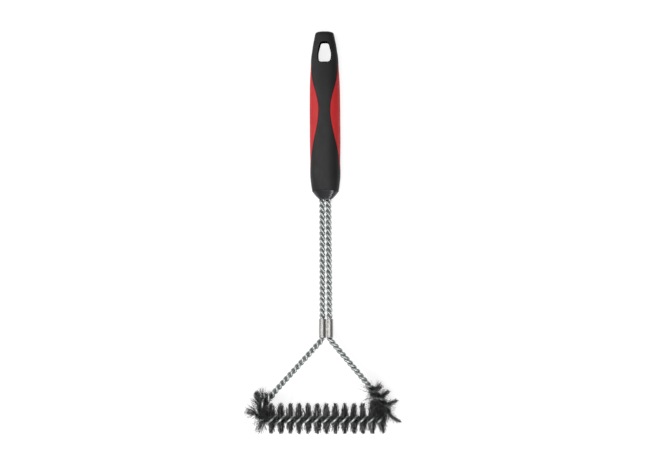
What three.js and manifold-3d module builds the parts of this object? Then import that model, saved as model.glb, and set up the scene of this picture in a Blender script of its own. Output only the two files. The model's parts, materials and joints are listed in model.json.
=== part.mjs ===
// A triangular wire grill brush: two steel wires twisted together run from the handle down the
// left shaft, through a crimped sleeve, round a triangle whose lower side carries the bristles,
// and back up the right shaft into the handle. Millimetres. The brush lies on its back: +X to
// the right, +Y from the brush bar to the hanging end of the handle, +Z up, away from the surface.
import * as THREE from "three";
import { mergeVertices } from "three/addons/utils/BufferGeometryUtils.js";
import Module from "manifold-3d";

const wasm = await Module();
wasm.setup();

// ---- Driving dimensions. Y is measured from the centreline of the brush bar. ----
const HANDLE_TOP_Y = 414.5;
const SKIN = 2.8; // soft grip thickness over the rigid core
const GAP = 0.3; // clearance left between neighbouring pieces
const HALF_GAP = GAP / 2;
const HOLE_LINER = 2.1; // the grip's own wall round the hang hole

const SLEEVE_TOP_Y = 107;
const SLEEVE_LENGTH = 20;
const SLEEVE_WALL = 0.45;
const SLEEVE_WEB_HALF = 2.2; // half height of the pinch between the two barrels
const SHAFT_SPACING_NOSE = 6.7; // between the two shafts where they leave the handle
const SHAFT_SPACING_SLEEVE = 7.6; // and where the sleeve holds them
const WIRES_END_Y = 290; // the wires end inside the handle
const SIDE_LEAN = THREE.MathUtils.degToRad(0.355); // of the shafts and the handle, to the left
const LEAN_FROM_Y = 97; // they lean from the middle of the sleeve up
const HANDLE_TURN = THREE.MathUtils.degToRad(3.4); // the handle sits a little turned on the shafts

const LEG_BEND_Y = 85; // where the legs spread, just below the sleeve
const LEG_BEND_RADIUS = 7;
const LEFT_CORNER = { x: -81.7, radius: 7 };
const RIGHT_CORNER = { x: 76.4, radius: 9 };

const STRAND_RADIUS = 1.55;
const STRAND_SIDES = 5;
const STRAND_STEPS = 400;
const STRAND_LENGTH_DIVISIONS = 6000; // samples that even out the steps along a wire
const BARE_PITCH = 11.6; // one full turn of the twist where there are no bristles
const BARE_OFFSET = 1.7; // from the twist's axis to each wire's centre
const BAR_PITCH = 19.4;
const BAR_OFFSET = 2.4;
const OFFSET_BLEND = 5; // length over which the wires open to take the bristles

const BRISTLE_REACH = 16.4;
const REACH_SHIFT = 1.2; // on the bar, bristles towards the handle are this much longer, others shorter
const CORNER_REACH = 14.2; // round the corners they splay out and reach less far
const BUNDLES_EACH_SIDE = 10;
const BUNDLE_ROOT = 4.2; // half width of a bundle's pinched root between the wires
const LEAST_TIP = 0.2; // how far even the shortest bristles stand past the root
const INNER_REACH = 0.55; // share of a corner's radius that its inner bristles take up
const ROOT_HALF_THICKNESS = 0.45;
const TIP_HALF_THICKNESS = 1;
const BUNDLE_COLUMNS = 4; // across a bundle: tip, root, axis, root, tip
const BUNDLE_ROWS = 6; // along the route
const BLOCK_SIZE = 2; // the block that becomes a bundle runs from -1 to 1 across and through
const MARK_MM = 1e-3; // vertices closer than this are one

// The bristles stand further out than the handle is thick, so the brush leans until the handle's
// back and the last bristles on the legs both rest.
const BACK_RESTS = { distance: 84.5, halfThickness: 11.6 };
const LEGS_REST_Y = 30;

// ---- Handle outline: distance from the hanging end, half width, half thickness. ----
const HANDLE_RINGS = [
  [0, 6.6, 3.2],
  [0.7, 8.4, 4.7],
  [2.4, 9.7, 5.7],
  [14, 12.4, 6.8],
  [30, 14.7, 7.8],
  [36.5, 14.9, 8.4],
  [48.5, 15.6, 9.5],
  [62.5, 16.2, 10.6],
  [84.5, 16.4, 11.6],
  [119.5, 16.3, 12.0],
  [138.5, 16.0, 11.8],
  [151.5, 16.2, 12.0],
  [157, 16.0, 11.9],
  [163.8, 15.2, 11.3],
  [169.5, 14.1, 10.5],
];
const NOSE_RINGS = [
  [169.8, 14.0, 10.4],
  [172.2, 12.6, 9.0],
  [176.8, 9.3, 6.1],
  [180.3, 7.2, 4.6],
];
const CORE_END = 160; // the core stops here, and the nose cap's spigot fills the rest
const OVERRUN = 1; // how far a cutter passes a face, and the nose's two bodies run into each other
const SECTION_POWER = 2.4; // superellipse exponent of the handle's section
const SECTION_SIDES = 24;
const CUT_DEPTH = 40; // cutters run well past both faces of the handle
const CUT_SIDE_X = 30; // and past its sides
const BAND_STEPS = 20;
const SLOT_SEGMENTS = 8;
const HOLE_CORNER_SEGMENTS = 3;
const SIDES = { left: -1, right: 1 };

// Each red inlay is widest at the waist, narrows like a bell curve and ends in a blunt point.
// Its half width is an angle about the handle's axis.
const INLAY = {
  waist: 84.5,
  halfAngle: THREE.MathUtils.degToRad(72.2),
  up: { length: 55.5, bell: 41.6 },
  down: { length: 68.5, bell: 51.7 },
};
const INLAY_BLUNT_POWER = 6;
const INLAY_TIP_SHARE = 0.97; // the last sliver of each point is left off
const HANG_HOLE = {
  top: 12,
  widest: 25.5,
  bottom: 33.2,
  topHalf: 3.8,
  widestHalf: 7.2,
  bottomHalf: 5.4,
  corner: 2.2,
};

const materials = {
  core: new THREE.MeshStandardMaterial({ color: 0x2b2c2d, roughness: 0.6, metalness: 0 }),
  softBlack: new THREE.MeshStandardMaterial({ color: 0x333334, roughness: 0.75, metalness: 0 }),
  softRed: new THREE.MeshStandardMaterial({ color: 0xb9373c, roughness: 0.7, metalness: 0 }),
  nose: new THREE.MeshStandardMaterial({ color: 0x2f2f33, roughness: 0.3, metalness: 0 }),
  wire: new THREE.MeshStandardMaterial({ color: 0xa3a8a8, roughness: 0.35, metalness: 1 }),
  sleeve: new THREE.MeshStandardMaterial({ color: 0xc9c8c4, roughness: 0.3, metalness: 1 }),
  bristle: new THREE.MeshStandardMaterial({ color: 0x45474a, roughness: 0.5, metalness: 0.8 }),
};

// ---- Helpers ----

function solidOf(geometry) {
  const bare = geometry.clone();
  bare.deleteAttribute("normal");
  bare.deleteAttribute("uv");
  const merged = mergeVertices(bare, MARK_MM);
  return new wasm.Manifold(
    new wasm.Mesh({
      numProp: 3,
      vertProperties: new Float32Array(merged.attributes.position.array),
      triVerts: new Uint32Array(merged.index.array),
    }),
  );
}

function geometryOf(solid) {
  const mesh = solid.getMesh();
  const geometry = new THREE.BufferGeometry();
  geometry.setAttribute("position", new THREE.BufferAttribute(mesh.vertProperties, 3));
  geometry.setIndex(new THREE.BufferAttribute(mesh.triVerts, 1));
  geometry.computeVertexNormals();
  return geometry;
}

// Moves every vertex of a three.js geometry to where place(vertex) says.
function reshape(geometry, place) {
  const position = geometry.attributes.position;
  const vertex = new THREE.Vector3();
  for (let i = 0; i < position.count; i++) {
    place(vertex.fromBufferAttribute(position, i));
    position.setXYZ(i, vertex.x, vertex.y, vertex.z);
  }
  return geometry;
}

function named(name, geometry, material) {
  const mesh = new THREE.Mesh(geometry, material);
  mesh.name = name;
  return mesh;
}

const superEllipse = (c) => Math.sign(c) * Math.abs(c) ** (2 / SECTION_POWER);

// A closed body through the rings [distance from the hanging end, half width, half thickness].
function loft(rings, inset = 0) {
  const cylinder = new THREE.CylinderGeometry(1, 1, 1, SECTION_SIDES, rings.length - 1);
  return solidOf(
    reshape(cylinder, (v) => {
      const [distance, halfWidth, halfThickness] = rings[Math.round((0.5 - v.y) * (rings.length - 1))];
      v.set(
        superEllipse(v.x) * (halfWidth - inset),
        HANDLE_TOP_Y - distance,
        superEllipse(v.z) * (halfThickness - inset),
      );
    }),
  );
}

// A shape drawn in X and Y, extruded through the whole thickness of the handle.
function throughHandle(shape, curveSegments = 1) {
  const geometry = new THREE.ExtrudeGeometry(shape, {
    depth: CUT_DEPTH,
    bevelEnabled: false,
    curveSegments,
  });
  return solidOf(geometry.translate(0, 0, -CUT_DEPTH / 2));
}

// The two wire shafts side by side need one slot with round ends.
function shaftSlot(fromDistance, toDistance) {
  const radius = BARE_OFFSET + STRAND_RADIUS + HALF_GAP;
  const halfSpacing = SHAFT_SPACING_NOSE / 2;
  const slot = new THREE.Shape();
  slot.absarc(halfSpacing, 0, radius, -Math.PI / 2, Math.PI / 2);
  slot.absarc(-halfSpacing, 0, radius, Math.PI / 2, (3 * Math.PI) / 2);
  const geometry = new THREE.ExtrudeGeometry(slot, {
    depth: toDistance - fromDistance,
    bevelEnabled: false,
    curveSegments: SLOT_SEGMENTS,
  });
  geometry.rotateX(-Math.PI / 2).rotateY(HANDLE_TURN).translate(0, HANDLE_TOP_Y - toDistance, 0);
  return solidOf(geometry);
}

// ---- Handle ----

function hangHole(grow = 0) {
  const { top, widest, bottom, topHalf, widestHalf, bottomHalf, corner } = HANG_HOLE;
  const [topY, widestY, bottomY] = [top, widest, bottom].map((distance) => HANDLE_TOP_Y - distance);
  const half = [
    [0, topY + grow],
    [topHalf + grow, topY + grow],
    [widestHalf + grow, widestY],
    [bottomHalf + grow, bottomY - grow],
    [0, bottomY - grow],
  ];
  const outline = [...half, ...half.slice(1, -1).reverse().map(([x, y]) => [-x, y])];
  const shape = new THREE.Shape();
  shape.moveTo(...outline[0]);
  for (let i = 1; i < outline.length; i++) {
    const [before, at, after] = [outline[i - 1], outline[i], outline[(i + 1) % outline.length]].map(
      ([x, y]) => new THREE.Vector2(x, y),
    );
    const cut = i === half.length - 1 ? 0 : corner;
    const enter = at.clone().add(before.sub(at).setLength(cut));
    const leave = at.clone().add(after.sub(at).setLength(cut));
    shape.lineTo(enter.x, enter.y);
    if (cut) shape.quadraticCurveTo(at.x, at.y, leave.x, leave.y);
  }
  return throughHandle(shape, HOLE_CORNER_SEGMENTS);
}

// Half angle of an inlay, about the middle of the handle's side.
function inlayHalfAngle(distance) {
  const along = distance - INLAY.waist;
  const { length, bell } = along < 0 ? INLAY.up : INLAY.down;
  const share = Math.min(1, Math.abs(along) / length);
  const blunt = Math.sqrt(1 - share ** INLAY_BLUNT_POWER);
  return INLAY.halfAngle * Math.exp(-((along / bell) ** 2)) * blunt;
}

// Half width of the black band between the inlays.
function bandHalf(distance) {
  const [, halfWidth] = ringAt(distance);
  return halfWidth * superEllipse(Math.cos(inlayHalfAngle(distance)));
}

// Everything to one side of the black band; the red inlay lies in it.
function besideBand(side, grow) {
  const from = INLAY.waist - INLAY.up.length * INLAY_TIP_SHARE;
  const to = INLAY.waist + INLAY.down.length * INLAY_TIP_SHARE;
  const shape = new THREE.Shape();
  shape.moveTo(side * CUT_SIDE_X, HANDLE_TOP_Y - from + grow);
  for (let i = 0; i <= BAND_STEPS; i++) {
    const distance = THREE.MathUtils.lerp(from - grow, to + grow, i / BAND_STEPS);
    shape.lineTo(side * (bandHalf(distance) - grow), HANDLE_TOP_Y - distance);
  }
  shape.lineTo(side * CUT_SIDE_X, HANDLE_TOP_Y - to - grow);
  return throughHandle(shape);
}

// The handle's ring at any distance from the hanging end.
function ringAt(distance) {
  const i = Math.max(1, HANDLE_RINGS.findIndex(([d]) => d >= distance));
  const [low, high] = [HANDLE_RINGS[i - 1], HANDLE_RINGS[i]];
  const share = (distance - low[0]) / (high[0] - low[0]);
  return low.map((value, k) => THREE.MathUtils.lerp(value, high[k], share));
}

// The handle's rings from one distance to another, so that a body inside it can be shorter.
function ringsBetween(from, to) {
  return [ringAt(from), ...HANDLE_RINGS.filter(([d]) => d > from && d < to), ringAt(to)];
}

// Where the grip ends against the nose cap. A body inside it runs on a little past that end.
const [gripEndDistance, ...gripEndHalves] = HANDLE_RINGS.at(-1);
const pastGripEnd = [NOSE_RINGS[0][0] + OVERRUN, ...gripEndHalves];

// The hollow of the soft grip. The core lies in it with a gap all round.
function gripCavity() {
  const rings = [...ringsBetween(SKIN - GAP, gripEndDistance), pastGripEnd];
  return loft(rings, SKIN - GAP).subtract(hangHole(HOLE_LINER - GAP));
}

function makeCore() {
  const wiresEnd = HANDLE_TOP_Y - WIRES_END_Y;
  const core = loft(ringsBetween(SKIN, CORE_END), SKIN)
    .subtract(hangHole(HOLE_LINER))
    .subtract(shaftSlot(wiresEnd - OVERRUN, CORE_END + OVERRUN));
  return named("handle_core", geometryOf(core), materials.core);
}

function makeGrip() {
  let grip = loft(HANDLE_RINGS).subtract(gripCavity()).subtract(hangHole());
  for (const side of Object.values(SIDES)) grip = grip.subtract(besideBand(side, HALF_GAP));
  return named("soft_grip", geometryOf(grip), materials.softBlack);
}

function makeInlay(word, side) {
  const inlay = loft(HANDLE_RINGS).intersect(besideBand(side, -HALF_GAP)).subtract(gripCavity());
  return named(`grip_inlay_${word}`, geometryOf(inlay), materials.softRed);
}

function makeNoseCap() {
  const spigot = loft([...ringsBetween(CORE_END + GAP, gripEndDistance), pastGripEnd], SKIN);
  const nose = loft(NOSE_RINGS)
    .add(spigot)
    .subtract(shaftSlot(CORE_END - OVERRUN, NOSE_RINGS.at(-1)[0] + OVERRUN));
  return named("nose_cap", geometryOf(nose), materials.nose);
}

// The handle is turned about its own axis, and leans to the left with the shafts.
function makeHandle() {
  const inlays = Object.entries(SIDES).map(([word, side]) => makeInlay(word, side));
  const handle = new THREE.Group();
  handle.add(makeCore(), makeGrip(), ...inlays, makeNoseCap());
  handle.rotation.y = -HANDLE_TURN;
  handle.position.y = -LEAN_FROM_Y;
  const leaning = new THREE.Group();
  leaning.add(handle);
  leaning.rotation.z = SIDE_LEAN;
  leaning.position.y = LEAN_FROM_Y;
  return leaning;
}

// ---- The route that both wires follow: down the left shaft, round the triangle, up the right one ----

// A flat route of straight lines with rounded corners, given as [x, y, radius].
function roundedRoute(corners) {
  const path = new THREE.Path();
  path.moveTo(corners[0][0], corners[0][1]);
  for (let i = 1; i < corners.length - 1; i++) {
    const [before, at, after] = corners.slice(i - 1, i + 2).map(([x, y]) => new THREE.Vector2(x, y));
    const into = at.clone().sub(before).normalize();
    const out = after.clone().sub(at).normalize();
    const turn = Math.atan2(into.cross(out), into.dot(out));
    const radius = corners[i][2];
    const cut = radius * Math.tan(Math.abs(turn) / 2);
    const start = at.clone().addScaledVector(into, -cut);
    path.lineTo(start.x, start.y);
    if (!radius) continue;
    const inward = new THREE.Vector2(-into.y, into.x).multiplyScalar(Math.sign(turn));
    const centre = start.clone().addScaledVector(inward, radius);
    const from = Math.atan2(start.y - centre.y, start.x - centre.x);
    path.absarc(centre.x, centre.y, radius, from, from + turn, turn < 0);
  }
  path.lineTo(corners.at(-1)[0], corners.at(-1)[1]);
  return path;
}

const noseY = HANDLE_TOP_Y - NOSE_RINGS.at(-1)[0];
const nearNose = SHAFT_SPACING_NOSE / 2;
const nearSleeve = SHAFT_SPACING_SLEEVE / 2;

// A point of a shaft, to one side of the line that the shafts and the handle lean along.
function shaftPoint(side, halfSpacing, y) {
  const above = Math.max(0, y - LEAN_FROM_Y);
  const x = side * halfSpacing * Math.cos(SIDE_LEAN) - above * Math.tan(SIDE_LEAN);
  return [x, y, 0];
}

const route = roundedRoute([
  shaftPoint(-1, nearNose, WIRES_END_Y),
  shaftPoint(-1, nearNose, noseY),
  shaftPoint(-1, nearSleeve, SLEEVE_TOP_Y),
  [-nearSleeve, LEG_BEND_Y, LEG_BEND_RADIUS],
  [LEFT_CORNER.x, 0, LEFT_CORNER.radius],
  [RIGHT_CORNER.x, 0, RIGHT_CORNER.radius],
  [nearSleeve, LEG_BEND_Y, LEG_BEND_RADIUS],
  shaftPoint(1, nearSleeve, SLEEVE_TOP_Y),
  shaftPoint(1, nearNose, noseY),
  shaftPoint(1, nearNose, WIRES_END_Y),
]);
const routeLength = route.getLength();
const routeEnds = route.getCurveLengths(); // how far along the route each line or arc ends

// The bar is the straight line along X between the two corners.
const isBar = (curve) => curve.isLineCurve && Math.abs(curve.v1.y) + Math.abs(curve.v2.y) < MARK_MM;
const barIndex = route.curves.findIndex(isBar);
const bar = route.curves[barIndex];
const barMiddle = routeEnds[barIndex - 1] - bar.v1.x;
const cornerArcs = [barIndex - 1, barIndex + 1].map((i) => ({
  from: routeEnds[i - 1],
  to: routeEnds[i],
  radius: route.curves[i].xRadius,
  vertex: new THREE.Vector2(i < barIndex ? LEFT_CORNER.x : RIGHT_CORNER.x, 0),
  centre: new THREE.Vector2(route.curves[i].aX, route.curves[i].aY),
}));
const bundleSpacing = BAR_PITCH / 2;
const bristledHalf = (BUNDLES_EACH_SIDE + 0.5) * bundleSpacing;

// The place on the route, its direction and the direction across it, in the plane of the brush.
function station(along) {
  const t = THREE.MathUtils.clamp(along / routeLength, 0, 1);
  const point = route.getPoint(t);
  const tangent = route.getTangent(t);
  return {
    point: new THREE.Vector3(point.x, point.y, 0),
    tangent: new THREE.Vector3(tangent.x, tangent.y, 0),
    across: new THREE.Vector3(-tangent.y, tangent.x, 0),
  };
}

// The angle of the bristles about the route. The wires lie a quarter turn to either side of it.
function twist(along) {
  const fromMiddle = along - barMiddle;
  const bristled = Math.min(Math.abs(fromMiddle), bristledHalf);
  const bare = Math.abs(fromMiddle) - bristled;
  return -2 * Math.PI * Math.sign(fromMiddle) * (bristled / BAR_PITCH + bare / BARE_PITCH);
}

// ---- Wires ----

class Strand extends THREE.Curve {
  constructor(quarterTurn) {
    super();
    this.quarterTurn = quarterTurn;
    this.arcLengthDivisions = STRAND_LENGTH_DIVISIONS;
  }

  getPoint(t, target = new THREE.Vector3()) {
    const along = t * routeLength;
    const { point, across } = station(along);
    const bare = Math.abs(along - barMiddle) - bristledHalf;
    const closed = THREE.MathUtils.smoothstep(bare, 0, OFFSET_BLEND);
    const offset = THREE.MathUtils.lerp(BAR_OFFSET, BARE_OFFSET, closed);
    const angle = twist(along) + this.quarterTurn * (Math.PI / 2);
    target.copy(point).addScaledVector(across, offset * Math.cos(angle));
    target.z += offset * Math.sin(angle);
    return target;
  }
}

function makeWire(name, quarterTurn) {
  const section = new THREE.Shape();
  for (let i = 0; i < STRAND_SIDES; i++) {
    const angle = (2 * Math.PI * i) / STRAND_SIDES;
    const [x, y] = [STRAND_RADIUS * Math.cos(angle), STRAND_RADIUS * Math.sin(angle)];
    if (i) section.lineTo(x, y);
    else section.moveTo(x, y);
  }
  const geometry = new THREE.ExtrudeGeometry(section, {
    steps: STRAND_STEPS,
    extrudePath: new Strand(quarterTurn),
  });
  return named(name, geometry, materials.wire);
}

// ---- Crimped sleeve: a strip bent round both shafts and pinched between them ----

function makeSleeve() {
  const bore = BARE_OFFSET + STRAND_RADIUS + HALF_GAP;
  const barrel = bore + SLEEVE_WALL;
  const web = Math.asin(SLEEVE_WEB_HALF / barrel);
  const shape = new THREE.Shape();
  shape.absarc(nearSleeve, 0, barrel, -Math.PI + web, Math.PI - web);
  shape.absarc(-nearSleeve, 0, barrel, web, 2 * Math.PI - web);
  for (const x of [-nearSleeve, nearSleeve]) {
    const hole = new THREE.Path();
    hole.absarc(x, 0, bore, 0, 2 * Math.PI);
    shape.holes.push(hole);
  }
  const geometry = new THREE.ExtrudeGeometry(shape, {
    depth: SLEEVE_LENGTH,
    bevelEnabled: false,
    curveSegments: SLOT_SEGMENTS,
  });
  geometry.rotateX(-Math.PI / 2).translate(0, SLEEVE_TOP_Y - SLEEVE_LENGTH, 0);
  return named("crimp_sleeve", geometry, materials.sleeve);
}

// ---- Bristle bundles: half a turn of the bristle strip each ----

// How far bristles reach from a place on the route before they would meet those across the corner.
function reachOf({ point, across }, along, direction) {
  const arc = cornerArcs.find(({ from, to }) => along > from && along < to);
  const inward = direction.dot(across);
  if (arc) return inward > 0 ? Math.min(BRISTLE_REACH, (INNER_REACH * arc.radius) / inward) : CORNER_REACH;
  const onBar = Math.abs(point.y) < MARK_MM;
  let reach = BRISTLE_REACH + (onBar ? REACH_SHIFT * direction.y : 0);
  for (const { vertex, centre } of cornerArcs) {
    const bisector = centre.clone().sub(vertex).normalize();
    const normal = new THREE.Vector3(-bisector.y, bisector.x, 0);
    const fromPlane = point.clone().sub(new THREE.Vector3(vertex.x, vertex.y, 0)).dot(normal);
    const towards = -Math.sign(fromPlane) * direction.dot(normal);
    const margin = TIP_HALF_THICKNESS + GAP;
    if (towards > 0) reach = Math.min(reach, (Math.abs(fromPlane) - margin) / towards);
  }
  return reach;
}

function makeBundle(name, middle) {
  const length = bundleSpacing - GAP;
  const block = new THREE.BoxGeometry(BLOCK_SIZE, length, BLOCK_SIZE, BUNDLE_COLUMNS, BUNDLE_ROWS);
  const twistRate = -(2 * Math.PI) / BAR_PITCH;
  const up = new THREE.Vector3(0, 0, 1);
  const geometry = reshape(block, (v) => {
    const along = middle + v.y;
    const place = station(along);
    const angle = twist(along);
    const direction = place.across.clone().multiplyScalar(Math.cos(angle));
    direction.addScaledVector(up, Math.sin(angle));
    const beside = new THREE.Vector3().crossVectors(direction, place.tangent);
    const isTip = Math.abs(v.x) === BLOCK_SIZE / 2;
    const side = Math.sign(v.x);
    const reach = isTip ? reachOf(place, along, direction.clone().multiplyScalar(side)) : BUNDLE_ROOT;
    const out = side * Math.max(reach, BUNDLE_ROOT + LEAST_TIP * isTip);
    // The strip's own surface leans along the route as it goes out, because it is twisted.
    const normal = beside.addScaledVector(place.tangent, out * twistRate).normalize();
    // Bundles thicken as they fan out, so those cut short at an inner corner stay thin.
    const fanned = Math.max(0, (Math.abs(out) - BUNDLE_ROOT) / (BRISTLE_REACH - BUNDLE_ROOT));
    const lift = v.z * THREE.MathUtils.lerp(ROOT_HALF_THICKNESS, TIP_HALF_THICKNESS, fanned);
    v.copy(place.point).addScaledVector(direction, out).addScaledVector(normal, lift);
  });
  return named(name, geometry, materials.bristle);
}

function makeBundles() {
  const bundles = [];
  for (let k = -BUNDLES_EACH_SIDE; k <= BUNDLES_EACH_SIDE; k++) {
    const number = String(k + BUNDLES_EACH_SIDE + 1).padStart(2, "0");
    bundles.push(makeBundle(`bristle_bundle_${number}`, barMiddle + k * bundleSpacing));
  }
  return bundles;
}

// ---- Assembly, lying on its back ----

const brush = new THREE.Group();
brush.add(makeHandle(), makeWire("stem_wire_a", 1), makeWire("stem_wire_b", -1));
brush.add(makeSleeve(), ...makeBundles());
brush.rotation.x = -Math.atan(
  (BRISTLE_REACH - BACK_RESTS.halfThickness) / (HANDLE_TOP_Y - BACK_RESTS.distance - LEGS_REST_Y),
);

// The origin is under the middle of the whole object's box, on the surface that it lies on.
const part = new THREE.Group();
part.add(brush);
const box = new THREE.Box3().setFromObject(part, true);
const boxMiddle = box.getCenter(new THREE.Vector3());
brush.position.set(-boxMiddle.x, -boxMiddle.y, -box.min.z);

export default part;
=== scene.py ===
import json
import math

import bmesh
import bpy
import numpy as np
from mathutils import Matrix, Vector


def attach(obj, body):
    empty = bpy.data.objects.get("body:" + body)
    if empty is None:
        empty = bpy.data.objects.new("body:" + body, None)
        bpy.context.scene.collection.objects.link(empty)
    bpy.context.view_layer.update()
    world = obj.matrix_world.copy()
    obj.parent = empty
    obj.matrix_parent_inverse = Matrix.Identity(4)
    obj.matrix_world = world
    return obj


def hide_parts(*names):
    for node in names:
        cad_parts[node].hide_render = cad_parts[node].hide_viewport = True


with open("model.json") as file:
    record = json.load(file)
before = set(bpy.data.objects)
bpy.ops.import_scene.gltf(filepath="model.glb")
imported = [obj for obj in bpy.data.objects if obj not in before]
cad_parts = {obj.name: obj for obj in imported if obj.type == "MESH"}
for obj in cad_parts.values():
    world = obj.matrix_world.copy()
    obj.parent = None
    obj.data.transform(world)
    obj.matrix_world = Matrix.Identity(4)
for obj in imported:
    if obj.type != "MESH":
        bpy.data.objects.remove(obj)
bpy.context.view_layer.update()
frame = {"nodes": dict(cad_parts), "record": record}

# Everything is built in millimetres in the brush's own frame, as the CAD draws it: the origin is
# the middle of the brush bar, +Y points to the hanging end of the handle and +Z away from the
# surface. The frame's mount, in the middle of the hang hole's upper wall, says where that lies.
HANDLE_TOP = 414.5
HOLE_TOP = 12.0  # from the hanging end to the hang hole's upper wall
SIDE_LEAN = math.radians(0.355)  # of the shafts and the handle, to the left
LEAN_FROM_Y = 97.0  # they lean from the middle of the sleeve up
SHAFT_NOSE = 6.7  # between the two shafts where they leave the handle
SHAFT_SLEEVE = 7.6  # and where the sleeve holds them
MM_PER_M = 1000

mount = frame["record"]["mounts"][0]
back_lean = math.atan2(mount["axis"][2], -mount["axis"][1])
mount_along = HANDLE_TOP - HOLE_TOP - LEAN_FROM_Y
mount_place = Vector(
    (-mount_along * math.sin(SIDE_LEAN), LEAN_FROM_Y + mount_along * math.cos(SIDE_LEAN), 0)
)
rest_turn = Matrix.Rotation(-back_lean, 4, "X")
bar_centre = Vector(mount["pos_m"]) - rest_turn @ (mount_place / MM_PER_M)
to_frame = Matrix.Translation(bar_centre) @ rest_turn @ Matrix.Scale(1 / MM_PER_M, 4)

rng = np.random.default_rng(7)


def to_metres(points):
    """Points of the brush's own frame, in millimetres, as metres of the frame."""
    matrix = np.array(to_frame)
    return np.asarray(points) @ matrix[:3, :3].T + matrix[:3, 3]


def add_mesh(name, points, faces, material, sharp_deg=40, attributes=None):
    """A mesh object from points in millimetres and faces as lists or rows of point numbers."""
    mesh = bpy.data.meshes.new(name)
    mesh.from_pydata(to_metres(points).tolist(), [], [list(map(int, f)) for f in faces])
    mesh.materials.append(material)
    mesh.shade_smooth()
    mesh.set_sharp_from_angle(angle=math.radians(sharp_deg))
    for key, values in (attributes or {}).items():
        attribute = mesh.attributes.new(key, "FLOAT", "POINT")
        attribute.data.foreach_set("value", np.asarray(values, np.float32))
    obj = bpy.data.objects.new(name, mesh)
    bpy.context.scene.collection.objects.link(obj)
    return obj


def run_lengths(points):
    """Distance along a line of points, from the first one to each."""
    return np.concatenate([[0], np.cumsum(np.linalg.norm(np.diff(points, axis=0), axis=1))])


def at_distances(at, run, points):
    """Points of a line at distances along it, where run_lengths gives run."""
    return np.stack([np.interp(at, run, points[:, k]) for k in range(points.shape[1])], axis=1)


def evenly(points, count):
    """The same line as count points at even distances."""
    run = run_lengths(points)
    return at_distances(np.linspace(0, run[-1], count), run, points)


def smooth_curve(knots, count):
    """Monotone cubic curve through the knots, sampled evenly along its length."""
    knots = np.asarray(knots, float)
    run = run_lengths(knots)
    step = np.diff(run)
    at = np.linspace(0, run[-1], count)
    i = np.clip(np.searchsorted(run, at, "right") - 1, 0, len(step) - 1)
    h = step[i]
    u = (at - run[i]) / h
    w1, w2 = 2 * step[1:] + step[:-1], step[1:] + 2 * step[:-1]
    out = np.empty((count, knots.shape[1]))
    for c in range(knots.shape[1]):
        slope = np.diff(knots[:, c]) / step
        before, after = slope[:-1], slope[1:]
        # A knot's slope is the weighted harmonic mean of its neighbours', or none where they turn.
        weights = w1 / np.where(before == 0, 1, before) + w2 / np.where(after == 0, 1, after)
        inner = np.where(before * after > 0, (w1 + w2) / weights, 0)
        m = np.concatenate([slope[:1], inner, slope[-1:]])
        out[:, c] = (
            (1 + 2 * u) * (1 - u) ** 2 * knots[i, c]
            + u * (1 - u) ** 2 * h * m[i]
            + u**2 * (3 - 2 * u) * knots[i + 1, c]
            + u**2 * (u - 1) * h * m[i + 1]
        )
    return out


def grid_faces(rows, columns, wrap_columns=False):
    """Quads of a grid of points, row by row."""
    across = np.arange(columns if wrap_columns else columns - 1)
    r, c = np.meshgrid(np.arange(rows - 1), across, indexing="ij")
    after = (c + 1) % columns
    quads = [r * columns + c, r * columns + after, (r + 1) * columns + after, (r + 1) * columns + c]
    return np.stack(quads, -1).reshape(-1, 4)


def loft_faces(rings, sides):
    """Faces of a closed loft: its sides, and a cap on the first and on the last ring."""
    first, last = list(range(sides)), list(range((rings - 1) * sides, rings * sides))
    return grid_faces(rings, sides, True).tolist() + [first, last[::-1]]


def ring_angles(sides):
    return np.linspace(0, 2 * math.pi, sides + 1)[:-1]


# ---- Materials ----


def new_material(name):
    material = bpy.data.materials.new(name)
    material.use_nodes = True
    nodes = material.node_tree.nodes
    return material, nodes, material.node_tree.links, nodes["Principled BSDF"]


NOISE_LOW, NOISE_HIGH = 0.3, 0.7  # noise hardly leaves this range


def noise(nodes, links, scale, detail, roughness=0.5, stretch=(1, 1, 1)):
    """Noise over the object's own coordinates, in cycles per metre."""
    coords = nodes.new("ShaderNodeTexCoord")
    mapping = nodes.new("ShaderNodeMapping")
    mapping.inputs["Scale"].default_value = stretch
    texture = nodes.new("ShaderNodeTexNoise")
    texture.inputs["Scale"].default_value = scale
    texture.inputs["Detail"].default_value = detail
    texture.inputs["Roughness"].default_value = roughness
    links.new(coords.outputs["Object"], mapping.inputs["Vector"])
    links.new(mapping.outputs["Vector"], texture.inputs["Vector"])
    return texture.outputs["Fac"]


def ramp(nodes, links, source, stops):
    node = nodes.new("ShaderNodeValToRGB")
    elements = node.color_ramp.elements
    while len(elements) < len(stops):
        elements.new(0.5)  # moved to its own place below
    for element, (position, colour) in zip(elements, stops):
        element.position = position
        element.color = (*colour, 1)
    links.new(source, node.inputs["Fac"])
    return node.outputs["Color"]


def ranged(nodes, links, source, low, high):
    """Noise as a value between low and high."""
    node = nodes.new("ShaderNodeMapRange")
    node.inputs["From Min"].default_value = NOISE_LOW
    node.inputs["From Max"].default_value = NOISE_HIGH
    node.inputs["To Min"].default_value = low
    node.inputs["To Max"].default_value = high
    links.new(source, node.inputs["Value"])
    return node.outputs["Result"]


def bump(nodes, links, source, distance, strength, shader):
    node = nodes.new("ShaderNodeBump")
    node.inputs["Distance"].default_value = distance
    node.inputs["Strength"].default_value = strength
    links.new(source, node.inputs["Height"])
    links.new(node.outputs["Normal"], shader.inputs["Normal"])


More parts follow.
